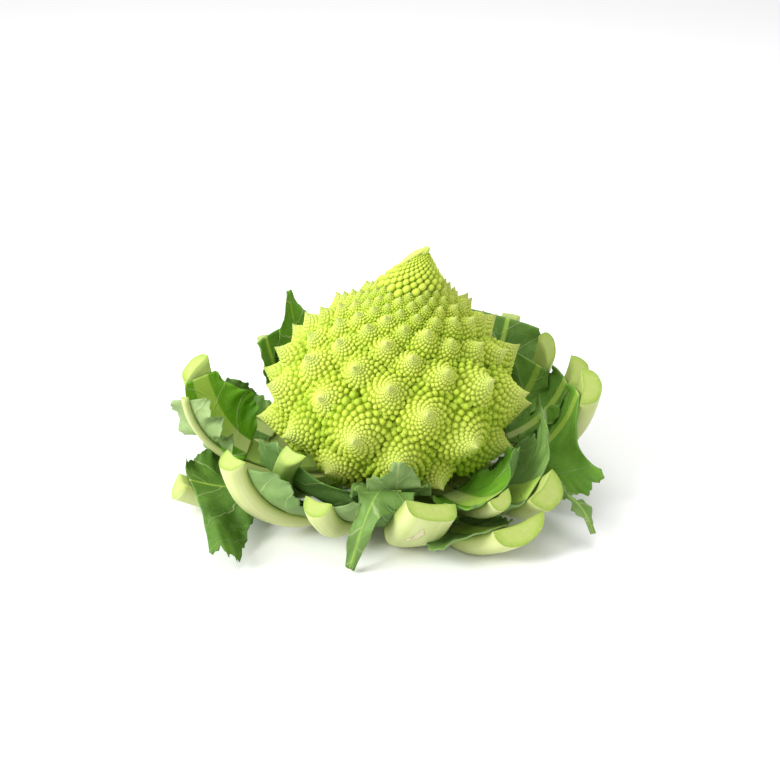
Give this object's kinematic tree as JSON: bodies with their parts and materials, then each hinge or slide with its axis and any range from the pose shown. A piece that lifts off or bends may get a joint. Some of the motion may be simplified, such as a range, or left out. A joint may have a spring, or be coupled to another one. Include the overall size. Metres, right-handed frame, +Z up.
{
  "type": "romanesco head",
  "caption": "Romanesco head: a tall cone of spiralling pointed florets in a ring of trimmed wrapper leaves, resting on its cut stalk.",
  "frame": {"origin": "middle of the stalk's flat cut face, on the plane the head stands on", "axes": "+Z up along the stalk to the curd's tip, -Y to the front of the picture, +X to its right"},
  "size_m": [0.2559, 0.2349, 0.153],
  "materials": {
    "curd": "fresh curd, matte to satin, bright yellow-green",
    "stalk": "cut stalk, matte, pale yellow-green",
    "rib": "leaf rib, satin, pale green with cut end",
    "blade": "leaf blade, satin, dark green with pale veins"
  },
  "bodies": {
    "root": {"curd": "curd", "stalk": "stalk", "leaf_02_rib": "rib", "leaf_03_rib": "rib", "leaf_07_rib": "rib", "leaf_11_rib": "rib", "leaf_12_rib": "rib", "leaf_13_rib": "rib", "leaf_21_rib": "rib", "leaf_22_rib": "rib", "leaf_23_rib": "rib", "leaf_19_rib": "rib", "leaf_01_rib": "rib", "leaf_05_rib": "rib", "leaf_09_rib": "rib", "leaf_14_rib": "rib", "leaf_16_rib": "rib", "leaf_17_rib": "rib", "leaf_04_rib": "rib", "leaf_10_rib": "rib", "leaf_06_rib": "rib", "leaf_15_rib": "rib", "leaf_18_rib": "rib", "leaf_08_rib": "rib", "leaf_02_blade": "blade", "leaf_03_blade": "blade", "leaf_07_blade": "blade", "leaf_11_blade": "blade", "leaf_12_blade": "blade", "leaf_13_blade": "blade", "leaf_21_blade": "blade", "leaf_22_blade": "blade", "leaf_23_blade": "blade", "leaf_19_blade": "blade", "leaf_01_blade": "blade", "leaf_05_blade": "blade", "leaf_09_blade": "blade", "leaf_14_blade": "blade", "leaf_16_blade": "blade", "leaf_17_blade": "blade", "leaf_04_blade": "blade", "leaf_10_blade": "blade", "leaf_06_blade": "blade", "leaf_15_blade": "blade", "leaf_18_blade": "blade", "leaf_08_blade": "blade"}
  },
  "joints": []
}
